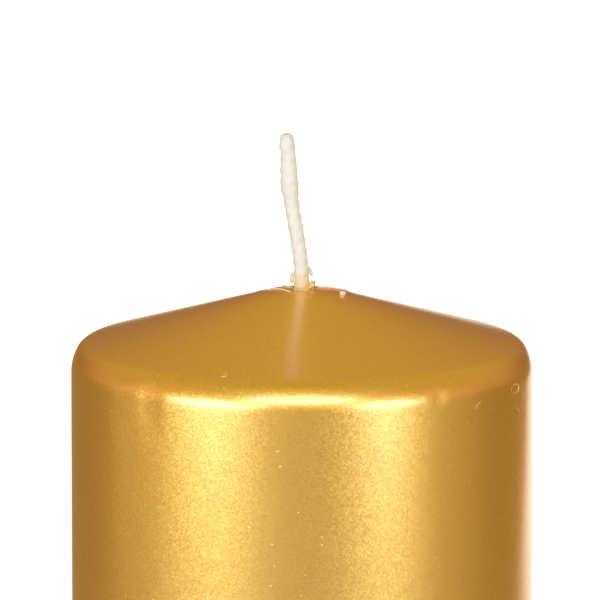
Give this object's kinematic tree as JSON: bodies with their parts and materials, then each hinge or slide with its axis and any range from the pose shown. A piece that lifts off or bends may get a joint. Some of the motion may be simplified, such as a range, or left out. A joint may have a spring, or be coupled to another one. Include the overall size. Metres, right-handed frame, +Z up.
{
  "type": "pillar candle",
  "caption": "Gold-lacquered pillar candle, 60 by 100 mm, with a shallow cone top and a wax-primed cotton wick that stands 20 mm out.",
  "frame": {"origin": "middle of the base, on the plane the candle stands on", "axes": "+Z up along the pillar's axis; the wick leans towards -X; -Y is the front"},
  "size_m": [0.06, 0.06, 0.1204],
  "materials": {
    "gold_lacquer": "satin",
    "dipped_wax": "satin",
    "pressed_wax": "matte",
    "primed_wax": "satin",
    "cotton": "matte",
    "tinplate": "satin"
  },
  "bodies": {
    "root": {"wax_core": "pressed_wax", "dipped_skin": "dipped_wax", "lacquer_film": "gold_lacquer", "wick": "cotton", "wick_wax_coat": "primed_wax", "wick_foot_collar": "dipped_wax", "wick_sustainer": "tinplate", "lacquer_flake_left": "gold_lacquer", "lacquer_flake_right": "gold_lacquer", "wax_curl_left": "dipped_wax", "wax_curl_right": "dipped_wax", "wax_crumb": "dipped_wax"}
  },
  "joints": []
}
